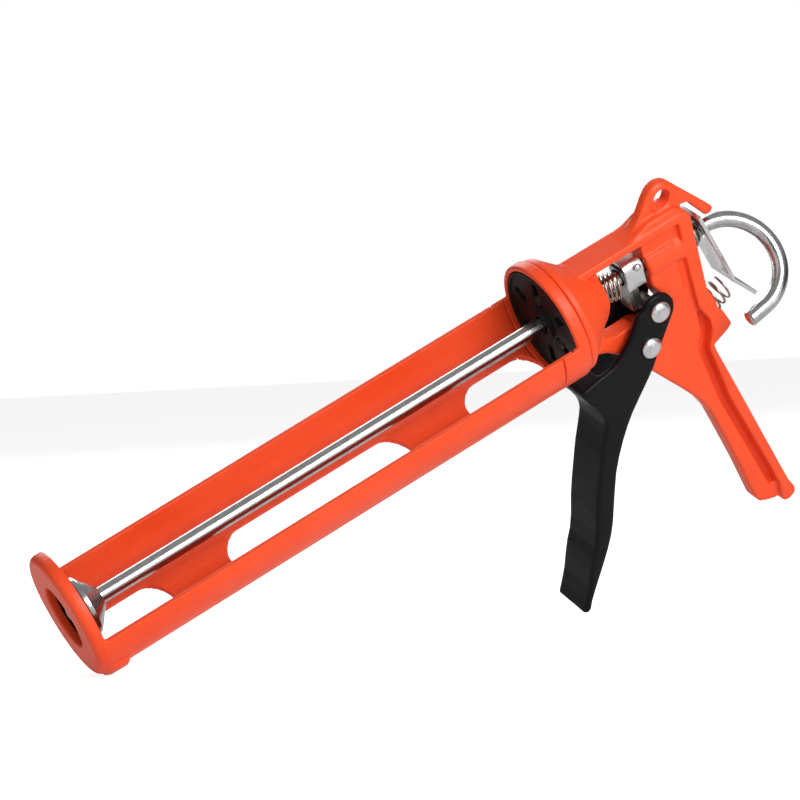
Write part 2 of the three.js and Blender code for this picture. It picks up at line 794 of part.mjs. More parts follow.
// Everything the channel leaves open: the space between the cheeks, from the back and from above.
function triggerHollow() {
  const inside = curvePoints([
    [-6, -133], [-1.2, -124], [4, -114], [8.2, -99], [13.2, -84.6],
    [17.4, -74], [21.8, -64], [23.6, -57.6], [22.2, -50], [18.4, -42.6], [17.4, -40.4],
  ], 15);
  return [
    [0, -140],
    ...inside,
    [24, -38.6],
    [24, -20],
    [40, 10],
    [90, 10],
    [90, -60],
    [40, -90],
    [20, -140],
  ];
}

function makeTrigger() {
  let made = slab(triggerOutline(), TRIGGER_HALF, 1.4);
  made = made.subtract(slab(triggerHollow(), CHEEK_IN));
  for (const [x, z] of [PIVOT, DRIVE]) {
    made = made.subtract(cylinderY(PIN_R + 0.1, -30, 30, x, z, 32));
  }
  return made;
}

// A rivet through both cheeks with a domed head at each end.
function makeRivet([x, z]) {
  const face = TRIGGER_HALF + GAP / 2;
  const dome = (side) =>
    [0, 1, 2, 3, 4].map((i) => {
      const a = rad(90 - 22.5 * i);
      return [side * (face + HEAD_RISE * Math.sin(a)), RIVET_HEAD_R * Math.cos(a)];
    });
  const near = dome(-1);
  const far = dome(1).reverse();
  return turnedY([
    [-face - HEAD_RISE, 0],
    ...near.slice(1),
    [-face, PIN_R],
    [face, PIN_R],
    ...far.slice(0, 4),
    [face + HEAD_RISE, 0],
  ], x, z, 32);
}

function makeRoller() {
  const [x, z] = DRIVE;
  const half = 4.2;
  return cylinderY(ROLLER_R, -half, half, x, z, 32).subtract(cylinderY(PIN_R + 0.1, -10, 10, x, z, 32));
}

// ---- release group ----

const RELEASE_COIL_R = 6;
const RELEASE_WIRE = 0.5;
const SEAT_DEPTH = 0.9; // spot face of the release spring in the spur
const SEAT_ALONG = 0.5; // how far down the spur's slope the spring sits

// Turns a solid built along X to stand square on the spur's slope.
function onSpur(made) {
  const out = SPUR[0] - REAR_FACE;
  const down = SPUR_START - SPUR[1];
  const lean = THREE.MathUtils.radToDeg(Math.atan2(out, down));
  return made
    .rotate([0, -lean, 0])
    .translate([REAR_FACE + out * SEAT_ALONG, 0, SPUR_START - down * SEAT_ALONG]);
}

// Distance from the spur's slope to the front of the release plate, along the spring.
function coilRoom() {
  const out = SPUR[0] - REAR_FACE;
  const down = SPUR_START - SPUR[1];
  const lean = Math.atan2(out, down);
  const normal = [Math.cos(rad(RELEASE_LEAN)), Math.sin(rad(RELEASE_LEAN))];
  const away = [
    RELEASE_TOP[0] - REAR_FACE - out * SEAT_ALONG,
    RELEASE_TOP[1] - SPUR_START + down * SEAT_ALONG,
  ];
  const reach = away[0] * normal[0] + away[1] * normal[1] - RELEASE_SHEET / 2;
  return reach / (Math.cos(lean) * normal[0] + Math.sin(lean) * normal[1]);
}

// Point a distance down the release plate's middle line.
function releasePoint(s) {
  const upper = Math.min(s, RELEASE_LENGTH);
  const lower = Math.max(s - RELEASE_LENGTH, 0);
  return [
    RELEASE_TOP[0] + upper * Math.sin(rad(RELEASE_LEAN)) + lower * Math.sin(rad(RELEASE_TAB_LEAN)),
    RELEASE_TOP[1] - upper * Math.cos(rad(RELEASE_LEAN)) - lower * Math.cos(rad(RELEASE_TAB_LEAN)),
  ];
}

function makeReleasePlate() {
  const h = RELEASE_SHEET / 2;
  const side = (s, lean, sign) => {
    const [x, z] = releasePoint(s);
    return [x + sign * h * Math.cos(rad(lean)), z + sign * h * Math.sin(rad(lean))];
  };
  const middle = (RELEASE_LEAN + RELEASE_TAB_LEAN) / 2;
  const end = RELEASE_LENGTH + RELEASE_TAB;
  const strip = [
    side(0, RELEASE_LEAN, -1),
    side(RELEASE_LENGTH, middle, -1),
    side(end, RELEASE_TAB_LEAN, -1),
    side(end, RELEASE_TAB_LEAN, 1),
    side(RELEASE_LENGTH, middle, 1),
    side(0, RELEASE_LEAN, 1),
  ];
  let made = slab(strip, RELEASE_HALF, 0.25);
  const s = RELEASE_TOP[1] / Math.cos(rad(RELEASE_LEAN));
  const [x] = releasePoint(s);
  const hole = cylinderX(ROD_R + 0.7, x - 8, x + 8, 0, 0.5).add(cylinderX(ROD_R + 0.7, x - 8, x + 8, 0, -0.5));
  return made.subtract(hole);
}

function makeReleaseSpring() {
  const x0 = RELEASE_WIRE + 0.1 - SEAT_DEPTH;
  const x1 = coilRoom() - RELEASE_WIRE - 1;
  return onSpur(helix(x0, x1, RELEASE_COIL_R, RELEASE_COIL_R - 0.8, RELEASE_WIRE, 2.6, 0, 1.2));
}

function makeRodWasher(x0, x1, r) {
  return turned([
    [x0, ROD_R + 0.2],
    [x0, r - 0.3],
    [x0 + 0.3, r],
    [x1 - 0.3, r],
    [x1, r - 0.3],
    [x1, ROD_R + 0.2],
  ], 32);
}

// ---- assembly ----

const ORANGE = { color: 0xf0421a, roughness: 0.45, metalness: 0.0 };
const BLACK = { color: 0x1c1c1e, roughness: 0.55, metalness: 0.0 };
const BLACK_STEEL = { color: 0x202022, roughness: 0.4, metalness: 0.6 };
const ZINC = { color: 0xc4c6c8, roughness: 0.3, metalness: 1.0 };
const STEEL = { color: 0x9a9c9e, roughness: 0.35, metalness: 1.0 };
const WIRE = { color: 0x8a8480, roughness: 0.3, metalness: 1.0 };

const gun = new THREE.Group();

function place(name, made, look) {
  const mesh = new THREE.Mesh(geometryOf(made), new THREE.MeshStandardMaterial(look));
  mesh.name = name;
  gun.add(mesh);
}

place("trough", makeTrough(), ORANGE);
place("collar_ring", makeCollarRing(), ORANGE);
place("nose_cap", makeNoseCap(), ORANGE);
place("body_casting", makeBodyCasting(), ORANGE);
place("end_disc", makeEndDisc(), BLACK);
discScrewPlaces().forEach((at, i) => place("disc_screw_" + (i + 1), makeDiscScrew(at), BLACK_STEEL));
place("push_rod", makePushRod(), ZINC);
place("piston_plate", makePistonPlate(), BLACK_STEEL);
place("piston_hub", makePistonHub(), ZINC);
place("piston_nut", makePistonNut(), BLACK_STEEL);
place("drive_spring", makeDriveSpring(), WIRE);
place("drive_strap", makeDriveStrap(), ZINC);
place("strap_pin", makeStrapPin(), ZINC);
for (const i of [0, 1]) place("grip_plate_" + (i + 1), makeGripPlate(i), STEEL);
place("trigger", makeTrigger(), BLACK);
place("pivot_rivet", makeRivet(PIVOT), ZINC);
place("drive_rivet", makeRivet(DRIVE), ZINC);
place("drive_roller", makeRoller(), STEEL);
place("release_plate", makeReleasePlate(), ZINC);
place("release_spring", makeReleaseSpring(), WIRE);
place("rod_washer_1", makeRodWasher(REAR_FACE + GAP, REAR_FACE + GAP + 1.4, 6.6), STEEL);
place("rod_washer_2", makeRodWasher(REAR_FACE + 2 * GAP + 1.4, REAR_FACE + 2 * GAP + 3, 5.2), BLACK_STEEL);

// Row frame: the origin is the centre of the bottom of the bounding box.
const bounds = new THREE.Box3().setFromObject(gun);
const middle = bounds.getCenter(new THREE.Vector3());
gun.position.set(-middle.x, -middle.y, -bounds.min.z);

export default gun;
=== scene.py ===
# %% [markdown]
# # A caulking gun in Blender
# A caulking gun is a cradle for a cartridge of sealant, a rod that pushes the cartridge's base, and a
# trigger that moves the rod a few millimetres at a squeeze. The moving pieces are already packed as a
# frame of plain solids. This lesson gives each of them its real surface. Every number is in metres, in
# the frame's own axes: X runs back along the rod, Z is up, and the hook is rolled towards -Y.

import math

import bmesh
import bpy
from mathutils import Matrix, Vector


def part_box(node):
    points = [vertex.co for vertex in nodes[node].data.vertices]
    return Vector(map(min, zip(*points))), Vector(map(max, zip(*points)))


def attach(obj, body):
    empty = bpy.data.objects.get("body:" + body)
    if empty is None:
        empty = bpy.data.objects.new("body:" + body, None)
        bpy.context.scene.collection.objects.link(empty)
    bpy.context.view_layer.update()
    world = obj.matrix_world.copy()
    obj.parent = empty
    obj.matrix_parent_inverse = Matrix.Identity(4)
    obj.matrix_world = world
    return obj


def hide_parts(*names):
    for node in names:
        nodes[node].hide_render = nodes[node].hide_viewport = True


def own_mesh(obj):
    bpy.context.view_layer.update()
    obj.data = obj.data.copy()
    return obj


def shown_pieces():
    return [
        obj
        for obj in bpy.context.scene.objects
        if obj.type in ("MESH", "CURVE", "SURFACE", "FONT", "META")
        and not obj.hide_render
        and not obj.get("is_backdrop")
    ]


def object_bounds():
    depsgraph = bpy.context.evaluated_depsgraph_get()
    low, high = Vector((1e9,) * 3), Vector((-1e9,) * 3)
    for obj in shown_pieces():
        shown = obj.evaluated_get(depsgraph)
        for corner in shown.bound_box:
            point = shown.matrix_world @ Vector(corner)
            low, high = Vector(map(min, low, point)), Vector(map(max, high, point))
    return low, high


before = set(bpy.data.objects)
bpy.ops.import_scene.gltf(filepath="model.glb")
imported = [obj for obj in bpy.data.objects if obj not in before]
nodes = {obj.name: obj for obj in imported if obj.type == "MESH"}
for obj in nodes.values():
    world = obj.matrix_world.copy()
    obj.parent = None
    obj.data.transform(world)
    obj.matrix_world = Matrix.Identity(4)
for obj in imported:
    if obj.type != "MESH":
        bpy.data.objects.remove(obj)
cad_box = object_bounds()
print("nodes", len(nodes), "box", [round(c, 4) for c in (*cad_box[0], *cad_box[1])])

# %% [markdown]
# ## A gun's own ruler
# Everything on the gun is lined up with its rod. The collar ring is round about the rod, so the middle of
# its box gives the rod's axis. The helper below turns millimetres measured back from the collar joint, to
# the side and up from the rod into a point of the frame.

# %% Rod axis
MM = 0.001
ring_low, ring_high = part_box("collar_ring")
axis_y = (ring_low.y + ring_high.y) / 2
axis_z = (ring_low.z + ring_high.z) / 2
joint_x = ring_low.x - 0.3 * MM


def at(x, y, z):
    return Vector((joint_x + x * MM, axis_y + y * MM, axis_z + z * MM))


print("rod axis at y", round(axis_y, 5), "z", round(axis_z, 5), "joint x", round(joint_x, 5))

# %% [markdown]
# ## Small shader tools
# Enamel, plate and bare steel share a few effects: a fine waviness, soft patches of colour and gloss, and
# hairline scratches. Each effect is a node group that is built once. A group gives out a value or a
# normal, and the shader itself stays in each material, so that every finish can be read on its own.

# %% Node helpers
def add(tree, kind, **values):
    """A new shader or geometry node with its plain properties set."""
    node = tree.nodes.new(kind)
    for key, value in values.items():
        setattr(node, key, value)
    return node


def new_group(name, inputs, outputs):
    group = bpy.data.node_groups.new(name, "ShaderNodeTree")
    for label, kind, value in inputs:
        socket = group.interface.new_socket(label, in_out="INPUT", socket_type=kind)
        socket.default_value = value
    for label, kind in outputs:
        group.interface.new_socket(label, in_out="OUTPUT", socket_type=kind)
    return group, add(group, "NodeGroupInput"), add(group, "NodeGroupOutput")


# %% [markdown]
# No sprayed or plated surface is one even colour. This group gives soft patches that a finish can use for
# its colour and its gloss together, so that a deeper patch is also a duller one.

# %% Group: cloudy variation
def build_clouds():
    """Soft patches for colour and roughness, at a size in metres."""
    group, start, end = new_group(
        "cloudy variation",
        [("Scale", "NodeSocketFloat", 60.0), ("Contrast", "NodeSocketFloat", 1.0)],
        [("Mask", "NodeSocketFloat")],
    )
    place = add(group, "ShaderNodeTexCoord")
    noise = add(group, "ShaderNodeTexNoise")
    noise.inputs["Detail"].default_value = 4.0
    noise.inputs["Roughness"].default_value = 0.6
    centre = add(group, "ShaderNodeMath", operation="SUBTRACT")
    centre.inputs[1].default_value = 0.5
    stretch = add(group, "ShaderNodeMath", operation="MULTIPLY")
    back = add(group, "ShaderNodeMath", operation="ADD", use_clamp=True)
    back.inputs[1].default_value = 0.5
    group.links.new(place.outputs["Object"], noise.inputs["Vector"])
    group.links.new(start.outputs["Scale"], noise.inputs["Scale"])
    group.links.new(noise.outputs["Fac"], centre.inputs[0])
    group.links.new(centre.outputs[0], stretch.inputs[0])
    group.links.new(start.outputs["Contrast"], stretch.inputs[1])
    group.links.new(stretch.outputs[0], back.inputs[0])
    group.links.new(back.outputs[0], end.inputs["Mask"])
    return group


clouds = build_clouds()


# %% [markdown]
# The rod slides through two steel plates thousands of times, which draws fine lines along it. Noise that is
# stretched along X gives such lines without a picture.

# %% Group: hairline scratches
def build_scratches():
    """Thin lines along X, as on a rod that slides through a plate."""
    group, start, end = new_group(
        "hairline scratches",
        [
            ("Scale", "NodeSocketFloat", 900.0),
            ("Stretch", "NodeSocketFloat", 0.02),
            ("Amount", "NodeSocketFloat", 0.5),
        ],
        [("Mask", "NodeSocketFloat")],
    )
    place = add(group, "ShaderNodeTexCoord")
    squeeze = add(group, "ShaderNodeCombineXYZ")
    squeeze.inputs["Y"].default_value = 1.0
    squeeze.inputs["Z"].default_value = 1.0
    along = add(group, "ShaderNodeVectorMath", operation="MULTIPLY")
    noise = add(group, "ShaderNodeTexNoise")
    noise.inputs["Detail"].default_value = 3.0
    pick = add(group, "ShaderNodeMapRange", interpolation_type="SMOOTHSTEP")
    pick.inputs["From Min"].default_value = 0.55
    pick.inputs["From Max"].default_value = 0.75
    scale = add(group, "ShaderNodeMath", operation="MULTIPLY")
    group.links.new(start.outputs["Stretch"], squeeze.inputs["X"])
    group.links.new(place.outputs["Object"], along.inputs[0])
    group.links.new(squeeze.outputs["Vector"], along.inputs[1])
    group.links.new(along.outputs["Vector"], noise.inputs["Vector"])
    group.links.new(start.outputs["Scale"], noise.inputs["Scale"])
    group.links.new(noise.outputs["Fac"], pick.inputs["Value"])
    group.links.new(pick.outputs["Result"], scale.inputs[0])
    group.links.new(start.outputs["Amount"], scale.inputs[1])
    group.links.new(scale.outputs[0], end.inputs["Mask"])
    return group


scratches = build_scratches()


# %% [markdown]
# Baked enamel dries with a slight orange-peel skin, and zinc plate with a fine grain. One height field
# with two sizes of noise serves both.

# %% Group: skin waviness
def build_skin():
    """Height of a sprayed or plated skin: broad waves with a finer grain on top."""
    group, start, end = new_group(
        "skin waviness",
        [
            ("Wave Scale", "NodeSocketFloat", 500.0),
            ("Grain Scale", "NodeSocketFloat", 2600.0),
            ("Grain", "NodeSocketFloat", 0.3),
        ],
        [("Height", "NodeSocketFloat")],
    )
    place = add(group, "ShaderNodeTexCoord")
    wave = add(group, "ShaderNodeTexNoise")
    wave.inputs["Detail"].default_value = 1.0
    grain = add(group, "ShaderNodeTexNoise")
    grain.inputs["Detail"].default_value = 2.0
    share = add(group, "ShaderNodeMath", operation="MULTIPLY")
    both = add(group, "ShaderNodeMath", operation="ADD")
    for noise, label in ((wave, "Wave Scale"), (grain, "Grain Scale")):
        group.links.new(place.outputs["Object"], noise.inputs["Vector"])
        group.links.new(start.outputs[label], noise.inputs["Scale"])
    group.links.new(grain.outputs["Fac"], share.inputs[0])
    group.links.new(start.outputs["Grain"], share.inputs[1])
    group.links.new(wave.outputs["Fac"], both.inputs[0])
    group.links.new(share.outputs[0], both.inputs[1])
    group.links.new(both.outputs[0], end.inputs["Height"])
    return group


skin = build_skin()
print("shader groups", [g.name for g in bpy.data.node_groups])

# %% [markdown]
# ## Finishes
# The cast body and the cradle are sprayed with a warm orange-red enamel that is baked on. It is smooth and
# half glossy, a little deeper in some patches, with a faint orange-peel skin. The trigger is black enamel,
# the disc is moulded plastic, and the rod, hub and rivets are plated.

# %% Finish maker
COAT_ROUGHNESS = 0.2
SKIN_DEPTH = 0.0004


def finish(name, light, dark, rough, metal=0.0, coat=0.0, wave=0.05, patch=60.0, contrast=1.2,
           line=0.0, line_stretch=0.02, glint=0.3):
    """A surface with patches between two colours, roughness that follows them, and a fine skin."""
    made = bpy.data.materials.new(name)
    made.use_nodes = True
    made.diffuse_color = (*light, 1.0)
    tree = made.node_tree
    shader = tree.nodes["Principled BSDF"]
    shader.inputs["Metallic"].default_value = metal
    shader.inputs["Coat Weight"].default_value = coat
    shader.inputs["Specular IOR Level"].default_value = glint
    shader.inputs["Coat Roughness"].default_value = COAT_ROUGHNESS
    patches = add(tree, "ShaderNodeGroup", node_tree=clouds)
    patches.inputs["Scale"].default_value = patch
    patches.inputs["Contrast"].default_value = contrast
    tint = add(tree, "ShaderNodeMix", data_type="RGBA")
    tint.inputs["A"].default_value = (*light, 1.0)
    tint.inputs["B"].default_value = (*dark, 1.0)
    tree.links.new(patches.outputs["Mask"], tint.inputs["Factor"])
    tree.links.new(tint.outputs["Result"], shader.inputs["Base Color"])
    gloss = add(tree, "ShaderNodeMapRange")
    gloss.inputs["To Min"].default_value = rough[0]
    gloss.inputs["To Max"].default_value = rough[1]
    tree.links.new(patches.outputs["Mask"], gloss.inputs["Value"])
    last = gloss.outputs["Result"]
    if line:
        lines = add(tree, "ShaderNodeGroup", node_tree=scratches)
        lines.inputs["Amount"].default_value = line
        lines.inputs["Stretch"].default_value = line_stretch
        more = add(tree, "ShaderNodeMath", operation="ADD", use_clamp=True)
        tree.links.new(last, more.inputs[0])
        tree.links.new(lines.outputs["Mask"], more.inputs[1])
        last = more.outputs[0]
    tree.links.new(last, shader.inputs["Roughness"])
    height = add(tree, "ShaderNodeGroup", node_tree=skin)
    bump = add(tree, "ShaderNodeBump")
    bump.inputs["Strength"].default_value = wave
    bump.inputs["Distance"].default_value = SKIN_DEPTH
    tree.links.new(height.outputs["Height"], bump.inputs["Height"])
    tree.links.new(bump.outputs["Normal"], shader.inputs["Normal"])
    return made


# %% The gun's finishes
enamel_orange = finish(
    "enamel_orange", light=(0.90, 0.082, 0.018), dark=(0.80, 0.060, 0.010), rough=(0.40, 0.52),
    coat=0.06, wave=0.12,
)
enamel_black = finish(
    "enamel_black", light=(0.0055, 0.0055, 0.0065), dark=(0.0035, 0.0035, 0.0045), rough=(0.34, 0.48),
    wave=0.18, glint=0.13,
)
plastic_black = finish(
    "plastic_black", light=(0.007, 0.006, 0.006), dark=(0.004, 0.003, 0.003), rough=(0.5, 0.65),
    wave=0.2, glint=0.15,
)
oxide_black = finish(
    "oxide_black", light=(0.05, 0.048, 0.046), dark=(0.02, 0.02, 0.02), rough=(0.3, 0.5),
    metal=0.8, wave=0.1,
)
plate_bright = finish(
    "plate_bright", light=(0.58, 0.585, 0.58), dark=(0.34, 0.34, 0.34), rough=(0.14, 0.26),
    metal=1.0, wave=0.08, patch=260.0, contrast=2.0, line=0.16,
)
plate_satin = finish(
    "plate_satin", light=(0.74, 0.745, 0.75), dark=(0.58, 0.58, 0.59), rough=(0.22, 0.34),
    metal=1.0, wave=0.12, patch=140.0,
)
steel_ground = finish(
    "steel_ground", light=(0.36, 0.35, 0.34), dark=(0.22, 0.21, 0.20), rough=(0.28, 0.45),
    metal=1.0, wave=0.1, patch=180.0, line=0.2, line_stretch=0.2,
)
wire_drawn = finish(
    "wire_drawn", light=(0.42, 0.36, 0.31), dark=(0.24, 0.19, 0.16), rough=(0.2, 0.34),
    metal=1.0, wave=0.05,
)
print("finishes", [m.name for m in bpy.data.materials if m.name != "Dots Stroke"])

# %% [markdown]
# ## From plain solids to castings
# A casting has no sharp edge: metal shrinks and sand or steel moulds round every corner, inside and out.
# A voxel remesh turns the plain solid into an even skin, a few passes of smoothing round that skin, and a
# decimation takes out the faces that flat areas don't need.

# %% Mesh helpers
WELD = 2e-6


def merged_copy(node, name):
    """The node's mesh with its loose triangles joined, as a new object."""
    mesh = nodes[node].data.copy()
    mesh.materials.clear()
    work = bmesh.new()
    work.from_mesh(mesh)
    bmesh.ops.remove_doubles(work, verts=work.verts, dist=WELD)
    work.to_mesh(mesh)
    work.free()
    mesh.name = name
    made = bpy.data.objects.new(name, mesh)
    bpy.context.scene.collection.objects.link(made)
    return made


def freeze(made):
    """Puts the modifiers' result into the mesh and takes the modifiers off."""
    bpy.context.view_layer.update()
    seen = made.evaluated_get(bpy.context.evaluated_depsgraph_get())
    mesh = bpy.data.meshes.new_from_object(seen)
    made.modifiers.clear()
    made.data = mesh
    return made


def dress(made, look):
    made.data.materials.clear()
    made.data.materials.append(look)


def hand_over(made, node_names, body):
    """The finished piece takes the place of its plain solids and rides on their body."""
    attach(made, body)
    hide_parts(*node_names)
    print(made.name, len(made.data.polygons), "faces")


def round_off(made, passes, keep):
    """Smooths a remeshed skin and takes out the faces that flat areas don't need."""
    rounding = made.modifiers.new("rounding", "SMOOTH")
    rounding.factor = 0.5
    rounding.iterations = passes
    thin = made.modifiers.new("thin", "DECIMATE")
    thin.ratio = keep
    freeze(made)
    made.data.shade_smooth()


def cast(node, voxel, passes, keep):
    """A casting made from a plain solid, with its voxel size in millimetres."""
    made = merged_copy(node, node + "_cast")
    skin_over = made.modifiers.new("skin", "REMESH")
    skin_over.mode = "VOXEL"
    skin_over.voxel_size = voxel * MM
    round_off(made, passes, keep)
    return made


# %% [markdown]
# The body is one die casting: spine, neck, rod guide, hanging lug, spur and fixed handle. The smoothing
# turns its sharp inner steps into the fillets that molten metal leaves.

# %% Cast body
body_cast = cast("body_casting", voxel=0.6, passes=6, keep=0.3)
dress(body_cast, enamel_orange)
hand_over(body_cast, ["body_casting"], "body")

# %% [markdown]
# The trigger is cast too, and takes more smoothing because its edges are rounded for the fingers.

# %% Trigger
trigger_cast = cast("trigger", voxel=0.55, passes=8, keep=0.3)
dress(trigger_cast, enamel_black)
hand_over(trigger_cast, ["trigger"], "trigger_lever")

# %% [markdown]
# The collar turns on the body behind the cradle. It keeps its own skin, so the joint line beside it stays.

# %% Collar
collar = cast("collar_ring", voxel=0.5, passes=4, keep=0.35)
dress(collar, enamel_orange)
hand_over(collar, ["collar_ring"], "cradle")

# %% [markdown]
# The nose cap is welded on the front of the trough and both are sprayed together, so the enamel fills the
# seam. Both solids are grown a little until the gap between them closes, skinned as one, and shrunk back.

# %% Trough and nose cap
shell = merged_copy("trough", "cradle_shell")
cap = merged_copy("nose_cap", "cap_copy")
both_solids = bmesh.new()
both_solids.from_mesh(shell.data)
both_solids.from_mesh(cap.data)
both_solids.to_mesh(shell.data)
both_solids.free()
bpy.data.objects.remove(cap)
SEAM = 0.17 * MM  # a little over half of the gap
SHRINK_MORE = 0.02 * MM  # keeps the skin inside the plain solids
grow_out = shell.modifiers.new("grow", "DISPLACE")
grow_out.strength = SEAM
grow_out.mid_level = 0.0
skin_over = shell.modifiers.new("skin", "REMESH")
skin_over.mode = "VOXEL"
skin_over.voxel_size = 0.45 * MM
shrink_back = shell.modifiers.new("shrink", "DISPLACE")
shrink_back.strength = -SEAM - SHRINK_MORE
shrink_back.mid_level = 0.0
round_off(shell, passes=4, keep=0.25)
dress(shell, enamel_orange)
hand_over(shell, ["trough", "nose_cap"], "cradle")

# %% [markdown]
# ## Pressed and turned pieces
# Sheet steel and turned pieces keep crisp edges with a small break on them. Flat triangles are first
# dissolved back into whole faces, and a narrow bevel then catches the light along each edge.

# %% Bevelled pieces
SHARP_EDGE = math.radians(35)
SHADING_BREAK = math.radians(32)
FLAT = math.radians(0.5)


def crisp(node, width, look, body, segments=2):
    """A piece with an edge break of the given width in millimetres."""
    made = merged_copy(node, node + "_made")
    work = bmesh.new()
    work.from_mesh(made.data)
    bmesh.ops.dissolve_limit(work, angle_limit=FLAT, verts=work.verts, edges=work.edges)
    work.to_mesh(made.data)
    work.free()
    edge = made.modifiers.new("edge", "BEVEL")
    edge.width = width * MM
    edge.segments = segments
    edge.limit_method = "ANGLE"
    edge.angle_limit = SHARP_EDGE
    edge.use_clamp_overlap = True
    freeze(made)
    made.data.shade_smooth()
    made.data.set_sharp_from_angle(angle=SHADING_BREAK)
    dress(made, look)
    hand_over(made, [node], body)


crisp("end_disc", 0.2, plastic_black, "body")
for i in (1, 2, 3):
    crisp(f"disc_screw_{i}", 0.06, oxide_black, "body", 1)
crisp("rod_washer_1", 0.12, steel_ground, "body")
crisp("rod_washer_2", 0.12, oxide_black, "body")
# The piston plate and its nut are real parts. Their dark oxide finish is also painted shade, so that they
# read as the shade deep inside the nose hole.
crisp("piston_plate", 0.15, oxide_black, "rod")
crisp("piston_hub", 0.15, plate_bright, "rod")
crisp("piston_nut", 0.1, oxide_black, "rod")
crisp("drive_strap", 0.25, plate_satin, "drive")
crisp("strap_pin", 0.1, plate_satin, "drive")
crisp("grip_plate_1", 0.2, steel_ground, "drive")
crisp("grip_plate_2", 0.2, steel_ground, "drive")
crisp("drive_roller", 0.25, steel_ground, "trigger_lever")
crisp("release_plate", 0.2, plate_satin, "release")

# %% [markdown]
# ## The push rod
# The rod is one straight bar, plated after its end was rolled into a hook. A ring of points is carried
# along the path, and the last rings draw in to round the cut end.

# %% Rod path
ROD_R = 3.5
HOOK_START = 95.6
HOOK_R = 21.93  # a little under the plain solid, whose facets cut inside its true circle
HOOK_TURN = 172.0
HOOK_TAIL = 9.6
HOOK_STEPS = 64
roll = math.radians(45.0)
hook_down = Vector((0, -math.sin(roll), -math.cos(roll)))
rod_front = (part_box("push_rod")[0].x - joint_x) / MM


def hook_point(degrees):
    a = math.radians(degrees)
    return Vector((HOOK_START + HOOK_R * math.sin(a), 0, 0)) + hook_down * (HOOK_R - HOOK_R * math.cos(a))


hook_path = [hook_point(HOOK_TURN * i / HOOK_STEPS) for i in range(HOOK_STEPS + 1)]
turn = math.radians(HOOK_TURN)
tail = Vector((math.cos(turn), 0, 0)) + hook_down * math.sin(turn)
hook_end = hook_path[-1] + tail * HOOK_TAIL
print("hook end", [round(c, 1) for c in hook_end])


# %% Rod mesh
BAR_SIDES = 48
CUT_EDGE = math.radians(40)


def bar(name, stations):
    """A closed round bar through (point, radius) stations in millimetres of the gun's ruler."""
    first_side = Vector((0, 0.3, 1))
    work = bmesh.new()
    rings, side = [], None
    for i, (point, radius) in enumerate(stations):
        before = stations[max(i - 1, 0)][0]
        after = stations[min(i + 1, len(stations) - 1)][0]
        heading = (after - before).normalized()
        side = heading.cross(first_side) if side is None else side - heading * side.dot(heading)
        side.normalize()
        other = heading.cross(side)
        ring = []
        for k in range(BAR_SIDES):
            a = 2 * math.pi * k / BAR_SIDES
            p = point + side * (radius * math.cos(a)) + other * (radius * math.sin(a))
            ring.append(work.verts.new(at(*p)))
        rings.append(ring)
    for low, high in zip(rings, rings[1:]):
        for k in range(BAR_SIDES):
            n = (k + 1) % BAR_SIDES
            work.faces.new((low[k], low[n], high[n], high[k]))
    work.faces.new(list(reversed(rings[0])))
    work.faces.new(rings[-1])
    bmesh.ops.recalc_face_normals(work, faces=work.faces)
    mesh = bpy.data.meshes.new(name)
    work.to_mesh(mesh)
    work.free()
    made = bpy.data.objects.new(name, mesh)
    bpy.context.scene.collection.objects.link(made)
    mesh.shade_smooth()
    mesh.set_sharp_from_angle(angle=CUT_EDGE)
    return made


# %% [markdown]
# The front end is turned down to a neck for the piston's nut. The rod keeps its full thickness from the
# shoulder to the hook, and the cut end of the hook has its edge filed.

# %% Push rod
SHOULDER = -222.9
SHOULDER_STEP = 0.01
NECK_R = 2.6
CHAMFER = 0.4
STRAIGHT_STEPS = 30
FILED, FILED_MID = 0.5, 0.15


def on_axis(x):
    return Vector((x, 0, 0))


stations = [(on_axis(rod_front), NECK_R - CHAMFER), (on_axis(rod_front + CHAMFER), NECK_R)]
stations += [(on_axis(SHOULDER - SHOULDER_STEP), NECK_R), (on_axis(SHOULDER), ROD_R)]
straight = HOOK_START - SHOULDER
for i in range(1, STRAIGHT_STEPS + 1):
    stations.append((on_axis(SHOULDER + straight * i / STRAIGHT_STEPS), ROD_R))
stations += [(p, ROD_R) for p in hook_path[1:]]
stations += [(hook_end - tail * FILED, ROD_R), (hook_end - tail * FILED_MID, ROD_R - FILED_MID)]
stations.append((hook_end, ROD_R - FILED))
push_rod = bar("push_rod_bar", stations)
dress(push_rod, plate_bright)
hand_over(push_rod, ["push_rod"], "rod")
